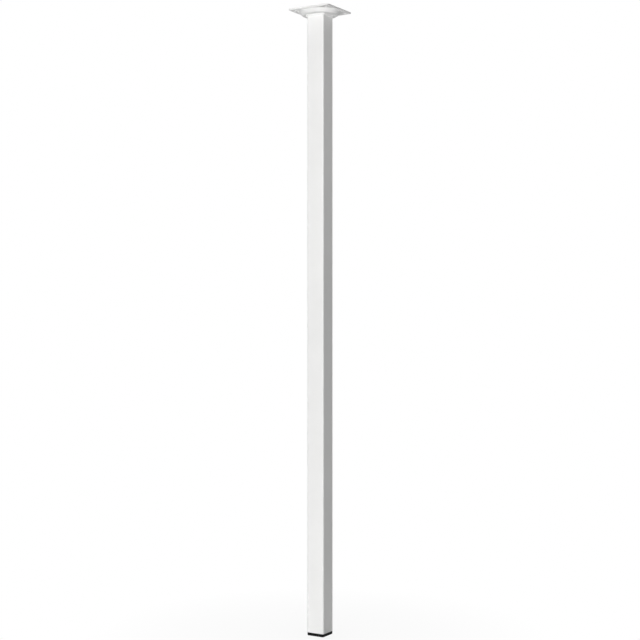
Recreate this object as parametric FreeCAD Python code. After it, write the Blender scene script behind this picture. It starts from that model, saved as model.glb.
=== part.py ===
"""Square steel table leg: a square tube welded under a pressed mounting plate, with a plastic foot plug.

Millimetres, +Z up. The origin is the middle of the foot's sole, and X and Y are square to the tube's faces.
"""
import FreeCAD, Part
import math
import os

# Whole leg, from the floor to the face that meets the table top
LEG_HEIGHT = 820.0

# Square tube, welded along its length and sawn square
TUBE_SIDE = 25.0
TUBE_WALL = 1.5
TUBE_CORNER_RADIUS = 2.0
TUBE_END_CHAMFER = 0.3

# Mounting plate, blanked and pressed from one sheet
PLATE_SIDE = 60.0
SHEET_THICKNESS = 2.0
PLATE_CORNER_RADIUS = 1.5
PLATE_EDGE_CHAMFER = 0.5
SCREW_HOLE_DIAMETER = 5.0
SCREW_HOLE_SPACING = 47.0

# Round dome pressed down in the middle of the plate, measured on its underside between sharp creases
DOME_DEPTH = 5.0
DOME_BASE_DIAMETER = 56.0
DOME_FLOOR_DIAMETER = 46.0
BEND_RADIUS = 1.5

# Fillet weld between the tube's top end and the dome's floor, its throat measured from root to crown
WELD_LEG = 2.0
WELD_THROAT = 1.9

# Foot plug, moulded in one piece: a sole, a hollow spigot and fins that grip the tube
SOLE_HEIGHT = 4.0
SOLE_INSET = 0.1
SOLE_EDGE_CHAMFER = 0.6
SOLE_TOP_CHAMFER = 0.2
SOLE_FLOOR = 2.0
SPIGOT_LENGTH = 18.0
SPIGOT_GAP = 1.2
SPIGOT_WALL = 1.6
SPIGOT_CORNER_RADIUS = 1.0
SPIGOT_LEAD_IN = 0.8
FIN_COUNT = 3
FIN_ROOT = 2.2
FIN_TIP = 0.6
FIN_CLEARANCE = 0.05

# Heights worked out from the sizes above
PLATE_TOP = LEG_HEIGHT
PLATE_UNDERSIDE = PLATE_TOP - SHEET_THICKNESS
DOME_FLOOR_UNDERSIDE = PLATE_UNDERSIDE - DOME_DEPTH
DOME_FLOOR_TOP = DOME_FLOOR_UNDERSIDE + SHEET_THICKNESS
TUBE_BOTTOM = SOLE_HEIGHT
TUBE_TOP = DOME_FLOOR_UNDERSIDE
SPIGOT_TOP = SOLE_HEIGHT + SPIGOT_LENGTH
TUBE_BORE = TUBE_SIDE - 2 * TUBE_WALL

FULL_TURN = 360
QUARTER_TURN = 90
QUARTERS = 4
SAME_POINT = 1e-6
UP = FreeCAD.Vector(0, 0, 1)


def rounded_outline(corners):
    """Closed wire through the given corners, each a point with its own rounding radius, or 0 if sharp."""
    stretches = []
    for index, (point, radius) in enumerate(corners):
        back = (corners[index - 1][0] - point).normalize()
        ahead = (corners[(index + 1) % len(corners)][0] - point).normalize()
        half_angle = back.getAngle(ahead) / 2
        setback = radius / math.tan(half_angle)
        inward = (back + ahead).normalize() * (radius / math.sin(half_angle) - radius)
        stretches.append((point + back * setback, point + inward, point + ahead * setback, radius))

    edges = []
    for index, (first, middle, last, radius) in enumerate(stretches):
        if radius:
            edges.append(Part.Arc(first, middle, last).toShape())
        following = stretches[(index + 1) % len(stretches)][0]
        if last.distanceToPoint(following) > SAME_POINT:
            edges.append(Part.makeLine(last, following))
    return Part.Wire(edges)


def rounded_square_prism(side, radius, bottom, top):
    """Upright prism on a rounded square centred on the leg's axis."""
    half = side / 2
    signs = ((-1, -1), (1, -1), (1, 1), (-1, 1))
    corners = [(FreeCAD.Vector(x * half, y * half, bottom), radius) for x, y in signs]
    return Part.Face(rounded_outline(corners)).extrude(UP * (top - bottom))


def run_round_square(section, corner_centre):
    """Run a section once round a rounded square: straight along its sides and turned about its corners.

    The section lies in the XZ plane, with X measured outward from the centre of a corner, and the four
    centres stand corner_centre from the leg's axis in both X and Y.
    """
    face = Part.Face(section)
    side = face.translated(FreeCAD.Vector(corner_centre, -corner_centre, 0))
    side = side.extrude(FreeCAD.Vector(0, 2 * corner_centre, 0))
    pivot = FreeCAD.Vector(corner_centre, corner_centre, 0)
    corner = face.translated(pivot).revolve(pivot, UP, QUARTER_TURN)
    pieces = []
    for quarter in range(QUARTERS):
        for piece in (side, corner):
            pieces.append(piece.rotated(FreeCAD.Vector(), UP, quarter * QUARTER_TURN))
    return joined(pieces)


def joined(pieces):
    """One solid from pieces that share faces, with no seams left between them."""
    return pieces[0].multiFuse(pieces[1:]).removeSplitter().Solids[0]


def level_edges(shape, height):
    """Edges of a shape that lie flat at the given height."""
    found = []
    for edge in shape.Edges:
        box = edge.BoundBox
        if box.ZLength < SAME_POINT and abs(box.ZMin - height) < SAME_POINT:
            found.append(edge)
    return found


def section_point(outward, height):
    """Point of a section in the XZ plane."""
    return FreeCAD.Vector(outward, 0, height)


def mounting_plate():
    """Pressed sheet: a square rim, and a round dome with an S-bend round it, all one thickness."""
    floor_crease = DOME_FLOOR_DIAMETER / 2
    base_crease = DOME_BASE_DIAMETER / 2
    flank_angle = math.atan2(DOME_DEPTH, base_crease - floor_crease)
    outer_bend = BEND_RADIUS + SHEET_THICKNESS
    half_turn = math.tan(flank_angle / 2)
    upper_shift = SHEET_THICKNESS * half_turn
    bend_end = base_crease + BEND_RADIUS * half_turn

    section = rounded_outline([
        (section_point(0, DOME_FLOOR_UNDERSIDE), 0),
        (section_point(floor_crease, DOME_FLOOR_UNDERSIDE), outer_bend),
        (section_point(base_crease, PLATE_UNDERSIDE), BEND_RADIUS),
        (section_point(bend_end, PLATE_UNDERSIDE), 0),
        (section_point(bend_end, PLATE_TOP), 0),
        (section_point(base_crease - upper_shift, PLATE_TOP), outer_bend),
        (section_point(floor_crease - upper_shift, DOME_FLOOR_TOP), BEND_RADIUS),
        (section_point(0, DOME_FLOOR_TOP), 0),
    ])
    dome = Part.Face(section).revolve(FreeCAD.Vector(), UP, FULL_TURN)

    rim = rounded_square_prism(PLATE_SIDE, PLATE_CORNER_RADIUS, PLATE_UNDERSIDE, PLATE_TOP)
    blank_edges = level_edges(rim, PLATE_UNDERSIDE) + level_edges(rim, PLATE_TOP)
    rim = rim.makeChamfer(PLATE_EDGE_CHAMFER, blank_edges)
    window_foot = FreeCAD.Vector(0, 0, PLATE_UNDERSIDE)
    rim = rim.cut(Part.makeCylinder(bend_end, SHEET_THICKNESS, window_foot))
    return joined([rim, dome]).cut(screw_holes())


def screw_holes():
    """Cutters for the four screw holes, one through each corner of the plate."""
    reach = SCREW_HOLE_SPACING / 2
    places = [FreeCAD.Vector(x, y, PLATE_UNDERSIDE) for x in (-reach, reach) for y in (-reach, reach)]
    return [Part.makeCylinder(SCREW_HOLE_DIAMETER / 2, SHEET_THICKNESS, place) for place in places]


def square_tube():
    """Tube with rounded corners, its lower end chamfered outside where the foot plug goes in."""
    outside = rounded_square_prism(TUBE_SIDE, TUBE_CORNER_RADIUS, TUBE_BOTTOM, TUBE_TOP)
    outside = outside.makeChamfer(TUBE_END_CHAMFER, level_edges(outside, TUBE_BOTTOM))
    bore = rounded_square_prism(TUBE_BORE, TUBE_CORNER_RADIUS - TUBE_WALL, TUBE_BOTTOM, TUBE_TOP)
    return outside.cut(bore)


def weld_bead():
    """Convex fillet weld, two flats meeting at its crown, run round the tube under the dome's floor."""
    tube_face = TUBE_CORNER_RADIUS
    crown = WELD_THROAT / math.sqrt(2)
    section = rounded_outline([
        (section_point(tube_face, TUBE_TOP), 0),
        (section_point(tube_face, TUBE_TOP - WELD_LEG), 0),
        (section_point(tube_face + crown, TUBE_TOP - crown), 0),
        (section_point(tube_face + WELD_LEG, TUBE_TOP), 0),
    ])
    return run_round_square(section, TUBE_SIDE / 2 - TUBE_CORNER_RADIUS)


def foot_plug():
    """Moulded plug: a sole as wide as the tube, and a hollow spigot whose fins grip the bore."""
    sole_side = TUBE_SIDE - 2 * SOLE_INSET
    sole = rounded_square_prism(sole_side, TUBE_CORNER_RADIUS - SOLE_INSET, 0, SOLE_HEIGHT)
    sole = sole.makeChamfer(SOLE_EDGE_CHAMFER, level_edges(sole, 0))
    sole = sole.makeChamfer(SOLE_TOP_CHAMFER, level_edges(sole, SOLE_HEIGHT))

    spigot_side = TUBE_BORE - 2 * SPIGOT_GAP
    spigot = rounded_square_prism(spigot_side, SPIGOT_CORNER_RADIUS, SOLE_HEIGHT, SPIGOT_TOP)
    spigot = spigot.makeChamfer(SPIGOT_LEAD_IN, level_edges(spigot, SPIGOT_TOP))

    corner_centre = spigot_side / 2 - SPIGOT_CORNER_RADIUS
    root = SPIGOT_CORNER_RADIUS
    tip = root + SPIGOT_GAP - FIN_CLEARANCE
    pitch = (SPIGOT_LENGTH - SPIGOT_LEAD_IN) / FIN_COUNT
    fins = []
    for index in range(FIN_COUNT):
        upper = SPIGOT_TOP - SPIGOT_LEAD_IN - index * pitch
        lower = upper - FIN_ROOT
        section = rounded_outline([
            (section_point(root, lower), 0),
            (section_point(tip, lower), 0),
            (section_point(tip, lower + FIN_TIP), 0),
            (section_point(root, upper), 0),
        ])
        fins.append(run_round_square(section, corner_centre))

    hollow_side = spigot_side - 2 * SPIGOT_WALL
    hollow = rounded_square_prism(hollow_side, SPIGOT_CORNER_RADIUS, SOLE_FLOOR, SPIGOT_TOP)
    return joined([sole, spigot] + fins).cut(hollow)


os.makedirs("parts", exist_ok=True)
mounting_plate().exportStep("parts/mounting_plate.step")
square_tube().exportStep("parts/square_tube.step")
weld_bead().exportStep("parts/weld_bead.step")
foot_plug().exportStep("parts/foot_plug.step")
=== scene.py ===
# %% [markdown]
# # A square steel table leg
# The real leg is four pieces: a length of square steel tube, a small plate pressed from sheet, the weld
# that joins the two, and a plastic plug that closes the tube at the floor. All the steel is white with
# powder coat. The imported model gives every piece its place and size. Here each one gets a finer skin
# and a real finish.

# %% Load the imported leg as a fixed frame
import math

import bmesh
import bpy
from mathutils import Matrix, Vector
from mathutils.geometry import tessellate_polygon


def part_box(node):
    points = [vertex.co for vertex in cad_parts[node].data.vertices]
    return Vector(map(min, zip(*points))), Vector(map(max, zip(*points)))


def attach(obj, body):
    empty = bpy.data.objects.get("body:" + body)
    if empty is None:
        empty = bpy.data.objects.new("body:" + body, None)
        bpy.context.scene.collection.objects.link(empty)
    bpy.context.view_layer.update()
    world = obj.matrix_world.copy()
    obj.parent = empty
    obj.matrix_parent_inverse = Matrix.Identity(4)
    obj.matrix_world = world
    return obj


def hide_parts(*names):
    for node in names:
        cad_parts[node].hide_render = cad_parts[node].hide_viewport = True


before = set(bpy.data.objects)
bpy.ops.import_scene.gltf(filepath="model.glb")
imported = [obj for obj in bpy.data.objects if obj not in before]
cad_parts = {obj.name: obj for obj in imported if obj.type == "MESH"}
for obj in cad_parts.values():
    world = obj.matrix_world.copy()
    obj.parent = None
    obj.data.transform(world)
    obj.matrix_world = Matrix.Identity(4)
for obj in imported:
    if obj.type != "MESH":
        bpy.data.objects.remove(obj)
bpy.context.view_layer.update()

MM = 0.001

# %% [markdown]
# ## Rings and skins
# Tube, weld, plug and the plate's outline all follow the same figure: a square with rounded corners.
# A modelling tool would draw it once and sweep a section round it. In mesh code the same idea is a ring
# of points and a skin of quads from one ring to the next, so these helpers make every piece of the leg.

# %% Rings of points, and a skin from ring to ring
QUARTERS = 4
QUARTER_TURN = math.tau / QUARTERS
CORNER_STEPS = 10


def ring(half, radius, height):
    """Points round a rounded square, anticlockwise from above. half is from the axis to a flat side."""
    points = []
    for quarter in range(QUARTERS):
        start = QUARTER_TURN * quarter
        diagonal = start + QUARTER_TURN / 2
        middle = Vector((math.copysign(half - radius, math.cos(diagonal)),
                         math.copysign(half - radius, math.sin(diagonal)), height))
        for step in range(CORNER_STEPS + 1):
            angle = start + QUARTER_TURN * step / CORNER_STEPS
            points.append(middle + radius * Vector((math.cos(angle), math.sin(angle), 0)))
    return points


def skin(mesh, rings, closed=False):
    """Quads from ring to ring, and from the last to the first if closed. Returns the rings' vertices."""
    loops = [[mesh.verts.new(point) for point in points] for points in rings]
    followers = loops[1:] + loops[:1] if closed else loops[1:]
    for loop, follower in zip(loops, followers):
        for index in range(len(loop)):
            mesh.faces.new((loop[index - 1], loop[index], follower[index], follower[index - 1]))
    return loops


print("a ring has", len(ring(half=1, radius=0.1, height=0)), "points")

# %% [markdown]
# ## From points to a piece
# A smooth-shaded mesh blurs where a flat face meets a small rounded edge. Sharp edges are kept by their
# angle, and a Weighted Normal modifier lets the large flats decide the shading, so that flats stay flat
# and only the rounded edges catch the light. Each piece then takes the place of its node and rides on
# the leg's one body.

# %% Make an object from a mesh and put it in its node's place
SHARP_ANGLE = math.radians(35)


def place(mesh, name, node):
    """Object from a finished mesh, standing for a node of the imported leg."""
    bmesh.ops.recalc_face_normals(mesh, faces=mesh.faces)
    data = bpy.data.meshes.new(name)
    mesh.to_mesh(data)
    mesh.free()
    data.shade_smooth()
    data.set_sharp_from_angle(angle=SHARP_ANGLE)
    piece = bpy.data.objects.new(name, data)
    bpy.context.scene.collection.objects.link(piece)
    piece.modifiers.new("flats_stay_flat", "WEIGHTED_NORMAL").keep_sharp = True
    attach(piece, "root")
    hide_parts(node)
    print(name, "has", len(data.polygons), "faces")
    return piece


print("edges stay sharp from", round(math.degrees(SHARP_ANGLE)), "degrees")

# %% [markdown]
# ## Square tube
# The tube is rolled from strip, welded along its length and sawn to size, so its corners are small and
# even and its ends are square. Five rings make it: up the outside, over the top end, down the bore and
# back.

# %% Square tube
tube_low, tube_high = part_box("square_tube")
TUBE_HALF = tube_high.x
TUBE_WALL = 1.5 * MM
TUBE_RADIUS = 2.0 * MM
TUBE_CHAMFER = 0.3 * MM

mesh = bmesh.new()
skin(mesh, [
    ring(TUBE_HALF - TUBE_CHAMFER, TUBE_RADIUS - TUBE_CHAMFER, tube_low.z),
    ring(TUBE_HALF, TUBE_RADIUS, tube_low.z + TUBE_CHAMFER),
    ring(TUBE_HALF, TUBE_RADIUS, tube_high.z),
    ring(TUBE_HALF - TUBE_WALL, TUBE_RADIUS - TUBE_WALL, tube_high.z),
    ring(TUBE_HALF - TUBE_WALL, TUBE_RADIUS - TUBE_WALL, tube_low.z),
], closed=True)
tube = place(mesh, "tube_steel", "square_tube")

# %% [markdown]
# ## Mounting plate
# A press stamps the plate from one sheet: it cuts the square outline and the screw holes, and pushes a
# round dome down towards the tube. The sheet keeps its thickness through both bends, so the bends of its
# two faces share their centres, and one function gives the section of either face. The dome's rings are
# plain circles.

# %% Section of the pressed dome
plate_low, plate_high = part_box("mounting_plate")
PLATE_HALF = plate_high.x
SHEET = 2.0 * MM
RIM_UNDERSIDE = plate_high.z - SHEET
DOME_BASE_RADIUS = 28.0 * MM
DOME_FLOOR_RADIUS = 23.0 * MM
BEND = 1.5 * MM
BEND_STEPS = 8
DOME_STEPS = 128

dome_depth = RIM_UNDERSIDE - plate_low.z
flank_angle = math.atan2(dome_depth, DOME_BASE_RADIUS - DOME_FLOOR_RADIUS)
bend_start = DOME_FLOOR_RADIUS - (BEND + SHEET) * math.tan(flank_angle / 2)
bend_end = DOME_BASE_RADIUS + BEND * math.tan(flank_angle / 2)


def circle(x, y, radius, height, steps):
    """Points round a level circle."""
    turns = [math.tau * step / steps for step in range(steps)]
    return [Vector((x + radius * math.cos(turn), y + radius * math.sin(turn), height)) for turn in turns]


def dome_rings(lift):
    """Circles up the dome on the face that lies lift above the sheet's underside."""
    turns = [flank_angle * step / BEND_STEPS for step in range(BEND_STEPS + 1)]
    lower_bend, upper_bend = BEND + SHEET - lift, BEND + lift
    rings = []
    for turn in turns:
        height = plate_low.z + lift + lower_bend * (1 - math.cos(turn))
        rings.append(circle(0, 0, bend_start + lower_bend * math.sin(turn), height, DOME_STEPS))
    for turn in reversed(turns):
        height = RIM_UNDERSIDE + lift - upper_bend * (1 - math.cos(turn))
        rings.append(circle(0, 0, bend_end - upper_bend * math.sin(turn), height, DOME_STEPS))
    return rings


print("flank leans at", round(math.degrees(flank_angle), 1), "degrees")
print("dome is", round(dome_depth / MM, 2), "mm deep")

# %% [markdown]
# Blanked edges are never knife sharp under powder coat, so each gets a small rounding. A bevel modifier
# could do it, but here the path up the edge is known, and one function gives it for plate and plug. The
# flat rim is the awkward part, because four round holes sit in it. Blender can fill a flat outline with
# holes in one call, so the rim is filled between loops that the edges and the dome already have, and no
# boolean is needed.

# %% Rounded edges and flat fills
ROUNDING_STEPS = 4


def quarter_round(radius):
    """Insets and rises round a lower edge, from the flat underside to the upright side."""
    turns = [QUARTER_TURN * step / ROUNDING_STEPS for step in range(ROUNDING_STEPS + 1)]
    return [(radius * (1 - math.sin(turn)), radius * (1 - math.cos(turn))) for turn in turns]


def edge_path(bottom, top, lower_radius, upper_radius):
    """Insets and heights up an upright edge that is rounded below and above."""
    below = [(inset, bottom + rise) for inset, rise in quarter_round(lower_radius)]
    above = [(inset, top - rise) for inset, rise in reversed(quarter_round(upper_radius))]
    return below + above


def fill_flat(mesh, loops):
    """Flat triangles between an outer loop of vertices and the loops that lie inside it."""
    vertices = [vertex for loop in loops for vertex in loop]
    for triple in tessellate_polygon([[vertex.co for vertex in loop] for loop in loops]):
        mesh.faces.new([vertices[index] for index in triple])


print("a rounding has", ROUNDING_STEPS, "steps")

# %% Mounting plate
PLATE_RADIUS = 1.5 * MM
EDGE_ROUNDING = 0.5 * MM
HOLE_RADIUS = 2.5 * MM
HOLE_REACH = 23.5 * MM
HOLE_STEPS = 40

edge = edge_path(RIM_UNDERSIDE, plate_high.z, EDGE_ROUNDING, EDGE_ROUNDING)
mesh = bmesh.new()
outline = skin(mesh, [ring(PLATE_HALF - inset, PLATE_RADIUS - inset, height) for inset, height in edge])
holes = []
for x in (-HOLE_REACH, HOLE_REACH):
    for y in (-HOLE_REACH, HOLE_REACH):
        wall = [circle(x, y, HOLE_RADIUS + inset, height, HOLE_STEPS) for inset, height in edge]
        holes.append(skin(mesh, wall))
for side, lift in ((0, 0.0), (-1, SHEET)):
    dome = skin(mesh, dome_rings(lift))
    mesh.faces.new(dome[0])
    fill_flat(mesh, [outline[side], dome[-1]] + [hole[side] for hole in holes])
plate = place(mesh, "plate_pressing", "mounting_plate")

# %% [markdown]
# ## Weld
# The welder runs a rounded bead round the corner between tube and dome. Each pulse of the arc leaves a
# small crescent, so the bead is a row of overlapping scales, softened by the coat on top. A texture could
# fake it, but the bead shows in outline, so here the scales are in the mesh: one short section after
# another along the tube. First comes the path, which walks along the tube's outline and tells where the
# bead is and which way it faces.

# %% Path along the tube's outline
straight = 2 * (TUBE_HALF - TUBE_RADIUS)
quarter_length = straight + QUARTER_TURN * TUBE_RADIUS
once_round = QUARTERS * quarter_length


def tube_edge(distance):
    """Point on the tube's outline and the direction outward, at a distance from the +X side's start."""
    quarter, along = divmod(distance, quarter_length)
    turn = max(along - straight, 0.0) / TUBE_RADIUS
    outward = Vector((math.cos(turn), math.sin(turn), 0))
    centre = Vector((straight / 2, min(along, straight) - straight / 2, 0))
    about = Matrix.Rotation(QUARTER_TURN * quarter, 3, "Z")
    return about @ (centre + outward * TUBE_RADIUS), about @ outward


print("once round the tube is", round(once_round / MM, 1), "mm")

# %% [markdown]
# Each section is a quarter circle, from the toe under the dome to the toe on the tube, and its back sinks
# a little into both, as fused metal does. The scales take a little off the radius, deepest at the crown,
# and lag behind at the toes, which bends every scale into a crescent.

# %% Weld bead
weld_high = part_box("weld_bead")[1]
WELD_LEG = weld_high.x - TUBE_HALF
WELD_SINK = 0.1 * MM
SCALE_PITCH = 2.1 * MM
SCALE_DEPTH = 0.18 * MM
SCALE_LAG = 0.9
STATIONS = 480
ACROSS = 10

scales = round(once_round / SCALE_PITCH)
sink = Vector((0, 0, WELD_SINK))
stations = []
for station in range(STATIONS):
    share = station / STATIONS
    point, outward = tube_edge(share * once_round)
    root = point + Vector((0, 0, weld_high.z))
    section = [root - outward * WELD_SINK + sink, root + outward * WELD_LEG + sink]
    for step in range(ACROSS + 1):
        turn = QUARTER_TURN * step / ACROSS
        crown = math.sin(2 * turn)
        reach = WELD_LEG - SCALE_DEPTH * crown * ((share * scales + SCALE_LAG * crown) % 1.0)
        drop = Vector((0, 0, reach * math.sin(turn)))
        section.append(root + outward * reach * math.cos(turn) - drop)
    section.append(section[-1] - outward * WELD_SINK)
    stations.append(section)
mesh = bmesh.new()
skin(mesh, stations, closed=True)
weld = place(mesh, "weld_run", "weld_bead")

# %% [markdown]
# ## Foot plug
# The plug is moulded in one shot of black polyethylene: a square sole that the leg stands on, and a hollow
# spigot whose fins bend as it is tapped into the tube. Sole and spigot could be two meshes, but one skin
# that runs from the sole's underside round the edge, up over the fins and down into the hollow is a single
# closed shell, as in the mould. The sole comes first.

# %% Sole of the plug
plug_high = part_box("foot_plug")[1]
FLOOR_LEVEL = 0.0
SOLE_HALF = plug_high.x
SOLE_TOP = tube_low.z
SOLE_RADIUS = TUBE_RADIUS - (TUBE_HALF - SOLE_HALF)
SOLE_EDGE = 0.8 * MM
SOLE_TOP_EDGE = 0.2 * MM

sole_side = edge_path(FLOOR_LEVEL, SOLE_TOP, SOLE_EDGE, SOLE_TOP_EDGE)
plug_rings = [ring(SOLE_HALF - inset, SOLE_RADIUS - inset, height) for inset, height in sole_side]
print("the sole is", round((SOLE_TOP - FLOOR_LEVEL) / MM, 1), "mm high")

# %% Spigot, fins and hollow
SOLE_FLOOR = 2.0 * MM
SPIGOT_GAP = 1.2 * MM
SPIGOT_WALL = 1.6 * MM
SPIGOT_RADIUS = 1.0 * MM
LEAD_IN = 0.8 * MM
FINS = 3
FIN_ROOT = 2.2 * MM
FIN_TIP = 0.6 * MM
FIN_CLEARANCE = 0.05 * MM

spigot_half = TUBE_HALF - TUBE_WALL - SPIGOT_GAP
hollow_half = spigot_half - SPIGOT_WALL
fin_reach = SPIGOT_GAP - FIN_CLEARANCE
fin_pitch = (plug_high.z - SOLE_TOP - LEAD_IN) / FINS
plug_rings.append(ring(spigot_half, SPIGOT_RADIUS, SOLE_TOP))
for fin in range(FINS):
    upper = SOLE_TOP + fin_pitch * (fin + 1)
    lower = upper - FIN_ROOT
    for reach, height in ((0, lower), (fin_reach, lower), (fin_reach, lower + FIN_TIP), (0, upper)):
        plug_rings.append(ring(spigot_half + reach, SPIGOT_RADIUS + reach, height))
plug_rings.append(ring(spigot_half - LEAD_IN, SPIGOT_RADIUS, plug_high.z))
plug_rings.append(ring(hollow_half, SPIGOT_RADIUS, plug_high.z))
plug_rings.append(ring(hollow_half, SPIGOT_RADIUS, SOLE_FLOOR))
mesh = bmesh.new()
loops = skin(mesh, plug_rings)
mesh.faces.new(loops[0])
mesh.faces.new(loops[-1])
plug = place(mesh, "plug_moulding", "foot_plug")

# %% [markdown]
# ## Colours and nodes
# Colours are written as they look on a screen, in sRGB hex, and Blender's shaders work in linear light,
# so one function turns one into the other. A second small function adds any shader node with its settings
# and links, and a third starts a material with an empty tree.

# %% Helpers for materials


def linear(hex_colour):
    """Linear RGBA from an sRGB hex colour such as #F2F2F0, by the sRGB curve."""
    channels = [int(hex_colour[start:start + 2], 16) / 255 for start in (1, 3, 5)]
    return [c / 12.92 if c <= 0.04045 else ((c + 0.055) / 1.055) ** 2.4 for c in channels] + [1.0]


def add(tree, kind, inputs=None, **settings):
    """One node: settings are its properties, and inputs go to its sockets as values or as links."""
    made = tree.nodes.new(kind)
    for name, value in settings.items():
        setattr(made, name, value)
    for name, value in (inputs or {}).items():
        if isinstance(value, bpy.types.NodeSocket):
            tree.links.new(value, made.inputs[name])
        else:
            made.inputs[name].default_value = value
    return made


def new_material(name):
    """Empty node material, and its tree."""
    material = bpy.data.materials.new(name)
    material.use_nodes = True
    material.node_tree.nodes.clear()
    return material, material.node_tree


print("powder coat white in linear light:", [round(c, 3) for c in linear("#F2F2F0")])

# %% [markdown]
# ## Powder-coated steel
# Polyester powder is sprayed on dry and melted in an oven, where it flows out into a thick, even skin
# with a satin gloss. It never levels out fully: the eye sees a faint orange peel, a gloss that breaks up
# a little, and a white that is very slightly uneven. Real peel is about 2 mm across and a few thousandths
# of a millimetre deep, too shallow to show from here, so it is drawn deeper. Noise fills about a third of
# its range, so the depth below gives dimples of about 0.02 mm. The specks in the gloss are drawn coarser
# than the grains of powder, for the same reason.

# %% White powder coat
PEEL_SIZE = 2.0 * MM
PEEL_DEPTH = 0.06 * MM
SPECK_SIZE = 0.45 * MM
CLOUD_SIZE = 60 * MM
NOISE_LOW, NOISE_HIGH = 0.3, 0.7
DULLER_WHITE, PURER_WHITE = "#F0F0EF", "#F4F4F3"
SATIN_LOW, SATIN_HIGH = 0.42, 0.52
COAT_IOR = 1.5
COAT_SPECULAR = 0.2

coat, tree = new_material("white_powder_coated_steel")
place_on_leg = add(tree, "ShaderNodeTexCoord").outputs["Object"]
peel = add(tree, "ShaderNodeTexNoise", {"Vector": place_on_leg, "Scale": 1 / PEEL_SIZE, "Detail": 0.0})
speck = add(tree, "ShaderNodeTexNoise", {"Vector": place_on_leg, "Scale": 1 / SPECK_SIZE, "Detail": 2.0})
cloud = add(tree, "ShaderNodeTexNoise", {"Vector": place_on_leg, "Scale": 1 / CLOUD_SIZE, "Detail": 3.0})
white = add(tree, "ShaderNodeValToRGB", {"Fac": cloud.outputs["Fac"]})
duller, purer = white.color_ramp.elements
duller.position, duller.color = NOISE_LOW, linear(DULLER_WHITE)
purer.position, purer.color = NOISE_HIGH, linear(PURER_WHITE)
gloss = add(tree, "ShaderNodeMapRange", {
    "Value": speck.outputs["Fac"], "From Min": NOISE_LOW, "From Max": NOISE_HIGH,
    "To Min": SATIN_LOW, "To Max": SATIN_HIGH})
relief = add(tree, "ShaderNodeBump", {
    "Height": peel.outputs["Fac"], "Strength": 1.0, "Distance": PEEL_DEPTH})
steel_skin = add(tree, "ShaderNodeBsdfPrincipled", {
    "Base Color": white.outputs["Color"], "Roughness": gloss.outputs["Result"],
    "Normal": relief.outputs["Normal"], "IOR": COAT_IOR, "Specular IOR Level": COAT_SPECULAR,
    "Metallic": 0.0})
add(tree, "ShaderNodeOutputMaterial", {"Surface": steel_skin.outputs["BSDF"]})
for piece in (tube, plate, weld):
    piece.data.materials.append(coat)
print("coated:", [piece.name for piece in (tube, plate, weld)])

# %% [markdown]
# ## Moulded polyethylene
# The plug's mould is spark-eroded, which leaves a fine matt grain on the plastic, and black polyethylene
# is soft and a little waxy. The eye sees a deep black with a wide dull sheen, broken by the grain and by
# a few scuffs. A real grain is about 0.2 mm across, too fine to show, so it is drawn three times as coarse.

# %% Black polyethylene
GRAIN_SIZE = 0.6 * MM
GRAIN_DEPTH = 0.1 * MM
SCUFF_SIZE = 6 * MM
SCUFF_LOW, SCUFF_HIGH = 0.35, 0.75
DEEP_BLACK, SCUFFED_BLACK = "#080809", "#101011"
DULL_LOW, DULL_HIGH = 0.5, 0.65
PLASTIC_IOR = 1.51
PLASTIC_SPECULAR = 0.08

plastic, tree = new_material("black_moulded_polyethylene")
place_on_leg = add(tree, "ShaderNodeTexCoord").outputs["Object"]
grain = add(tree, "ShaderNodeTexNoise", {"Vector": place_on_leg, "Scale": 1 / GRAIN_SIZE, "Detail": 3.0})
scuff = add(tree, "ShaderNodeTexNoise", {"Vector": place_on_leg, "Scale": 1 / SCUFF_SIZE, "Detail": 6.0})
black = add(tree, "ShaderNodeValToRGB", {"Fac": scuff.outputs["Fac"]})
deep, scuffed = black.color_ramp.elements
deep.position, deep.color = SCUFF_LOW, linear(DEEP_BLACK)
scuffed.position, scuffed.color = SCUFF_HIGH, linear(SCUFFED_BLACK)
sheen = add(tree, "ShaderNodeMapRange", {
    "Value": scuff.outputs["Fac"], "From Min": NOISE_LOW, "From Max": NOISE_HIGH,
    "To Min": DULL_LOW, "To Max": DULL_HIGH})
relief = add(tree, "ShaderNodeBump", {
    "Height": grain.outputs["Fac"], "Strength": 1.0, "Distance": GRAIN_DEPTH})
plug_skin = add(tree, "ShaderNodeBsdfPrincipled", {
    "Base Color": black.outputs["Color"], "Roughness": sheen.outputs["Result"],
    "Normal": relief.outputs["Normal"], "IOR": PLASTIC_IOR, "Specular IOR Level": PLASTIC_SPECULAR,
    "Metallic": 0.0})
add(tree, "ShaderNodeOutputMaterial", {"Surface": plug_skin.outputs["BSDF"]})
plug.data.materials.append(plastic)
print("plug material:", plug.data.materials[0].name)

# %% [markdown]
# ## Floor
# The leg stands on a plain pale floor. Seen straight by the camera or in a reflection the floor is white,
# with the leg's soft shadow left in near the foot. For all other light it is an ordinary matt surface, so
# it brightens the leg only as a real floor would. A brighter floor could be white by itself, but then it
# would light the leg from below far too strongly.

# %% Floor
FLOOR_HALF = 12.0
CORNERS = ((-1, -1), (1, -1), (1, 1), (-1, 1))

mesh = bmesh.new()
mesh.faces.new([mesh.verts.new((x * FLOOR_HALF, y * FLOOR_HALF, FLOOR_LEVEL)) for x, y in CORNERS])
floor_data = bpy.data.meshes.new("studio_floor")
mesh.to_mesh(floor_data)
mesh.free()
floor = bpy.data.objects.new("studio_floor", floor_data)
bpy.context.scene.collection.objects.link(floor)
print("floor is", 2 * FLOOR_HALF, "m square")

# %% Floor finish
SHADOW_NEAR = 0.03
SHADOW_FAR = 0.3
SHADOW_SHARE = 0.08
FLOOR_GREY = linear("#D8D8D8")
WHITE = linear("#FFFFFF")


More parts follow.
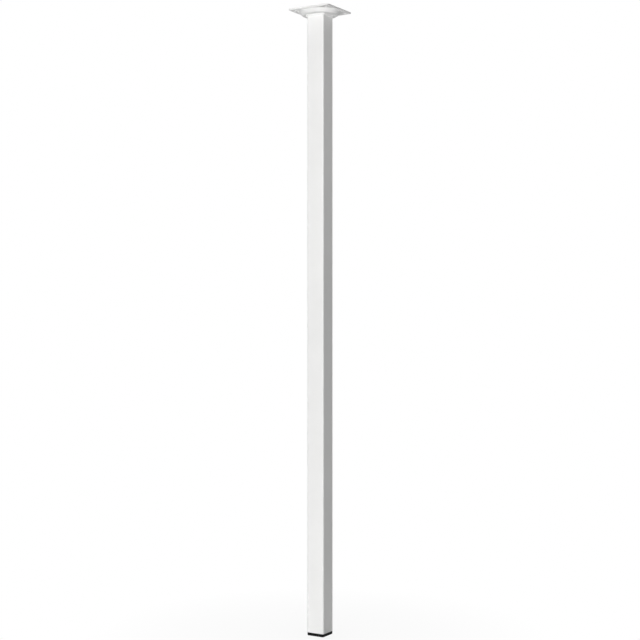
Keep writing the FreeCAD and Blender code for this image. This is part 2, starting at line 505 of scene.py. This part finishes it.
def seen_directly(tree):
    """Socket that is 1 for rays from the camera, a reflection or glass, and 0 for all other light."""
    rays = add(tree, "ShaderNodeLightPath").outputs
    seen = rays["Is Camera Ray"]
    for kind in ("Is Glossy Ray", "Is Transmission Ray"):
        seen = add(tree, "ShaderNodeMath", {0: seen, 1: rays[kind]}, operation="MAXIMUM").outputs[0]
    return seen


pale, tree = new_material("pale_studio_floor")
spot = add(tree, "ShaderNodeTexCoord").outputs["Object"]
distance = add(tree, "ShaderNodeVectorMath", {0: spot}, operation="LENGTH")
whiten = add(tree, "ShaderNodeMapRange", {
    "Value": distance.outputs["Value"], "From Min": SHADOW_NEAR, "From Max": SHADOW_FAR,
    "To Min": 1 - SHADOW_SHARE, "To Max": 1.0})
share = add(tree, "ShaderNodeMath", {0: seen_directly(tree), 1: whiten.outputs["Result"]},
            operation="MULTIPLY")
matt = add(tree, "ShaderNodeBsdfDiffuse", {"Color": FLOOR_GREY})
glow = add(tree, "ShaderNodeEmission", {"Color": WHITE, "Strength": 1.0})
blend = add(tree, "ShaderNodeMixShader", {0: share.outputs[0], 1: matt.outputs[0], 2: glow.outputs[0]})
add(tree, "ShaderNodeOutputMaterial", {"Surface": blend.outputs[0]})
floor_data.materials.append(pale)
print("shadow shows within", SHADOW_FAR, "m of the leg")

# %% [markdown]
# ## Background
# The same white stands behind the leg, so that floor and background run into each other. It could be a
# curved paper sweep, but a white world needs no mesh. To all other light the world is nearly black, so
# that the lamps alone shape the leg.

# %% World
AMBIENT = 0.03

world = bpy.data.worlds.new("studio_air")
world.use_nodes = True
tree = world.node_tree
tree.nodes.clear()
strength = add(tree, "ShaderNodeMapRange", {
    "Value": seen_directly(tree), "To Min": AMBIENT, "To Max": 1.0})
air = add(tree, "ShaderNodeBackground", {"Color": WHITE, "Strength": strength.outputs["Result"]})
add(tree, "ShaderNodeOutputWorld", {"Surface": air.outputs[0]})
bpy.context.scene.world = world
print("ambient light:", AMBIENT)

# %% [markdown]
# ## Studio light
# The wide face of the leg is bright and the narrow face is in soft shade, and the dome's underside is
# bright too. So the key light stands low and almost square to the wide face, and a weaker fill stands to
# its right. A softbox behind gives the far faces some light without reaching the near ones. Three small
# lamps carry a honeycomb grid, which keeps the beam narrow: one overhead for the plate's top, one at the
# floor for its underside, and one low in front for the foot, which a white floor would brighten. A narrow
# beam holds all of a lamp's power, so these lamps need only a few hundredths of a watt or less.

# %% Softboxes
MIDDLE = Vector((0, 0, 0.42))
PLATE = Vector((0, 0, plate_low.z))
FOOT = Vector((0, 0, 0.03))
NO_GRID = 180


def softbox(name, position, target, size, watts, beam=NO_GRID):
    """Square area light that faces a target, with its beam in degrees."""
    lamp = bpy.data.lights.new(name, "AREA")
    lamp.size = size
    lamp.energy = watts
    lamp.spread = math.radians(beam)
    box = bpy.data.objects.new(name, lamp)
    box.location = position
    box.rotation_euler = (target - box.location).to_track_quat("-Z", "Y").to_euler()
    bpy.context.scene.collection.objects.link(box)


softbox("key_softbox", position=(0.33, -2.38, 0.25), target=MIDDLE, size=0.6, watts=38.5)
softbox("fill_softbox", position=(1.84, -1.84, 0.9), target=MIDDLE, size=0.6, watts=16)
softbox("back_softbox", position=(-1.5, 2.1, 1.7), target=MIDDLE, size=1.0, watts=46)
softbox("overhead_grid", position=(0, 0, 2.2), target=PLATE, size=0.1, watts=0.022, beam=8)
softbox("floor_grid", position=(0.6, -0.7, 0.06), target=PLATE, size=0.15, watts=0.028, beam=30)
softbox("foot_grid", position=(-0.2, -1.1, 0.15), target=FOOT, size=0.1, watts=0.0085, beam=20)
bpy.context.scene.view_settings.view_transform = "Standard"
print("lamps:", [lamp.name for lamp in bpy.data.lights])

# %% [markdown]
# ## Camera
# The photograph was taken level with the middle of the leg: the plate is seen from below and the foot from
# above. The wide face and the narrow face show as 15.4 to 9.5, which is a turn of between 31 and 32
# degrees. How steeply the edges of plate and foot run gives the distance, about 1.7 metres.

# %% Camera
CAMERA_TURN = math.radians(31.4)
CAMERA_DISTANCE = 1.697
CAMERA_HEIGHT = 0.4134
FOCAL_PIXELS = 1291
FRAME_PIXELS = 640
SENSOR_WIDTH = 36

lens = bpy.data.cameras.new("camera")
lens.sensor_width = SENSOR_WIDTH
lens.lens = SENSOR_WIDTH * FOCAL_PIXELS / FRAME_PIXELS
camera = bpy.data.objects.new("camera", lens)
camera.location = (CAMERA_DISTANCE * math.sin(CAMERA_TURN),
                   -CAMERA_DISTANCE * math.cos(CAMERA_TURN), CAMERA_HEIGHT)
camera.rotation_euler = (QUARTER_TURN, 0, CAMERA_TURN)
bpy.context.scene.collection.objects.link(camera)
bpy.context.scene.camera = camera
print("lens:", round(lens.lens, 1), "mm")
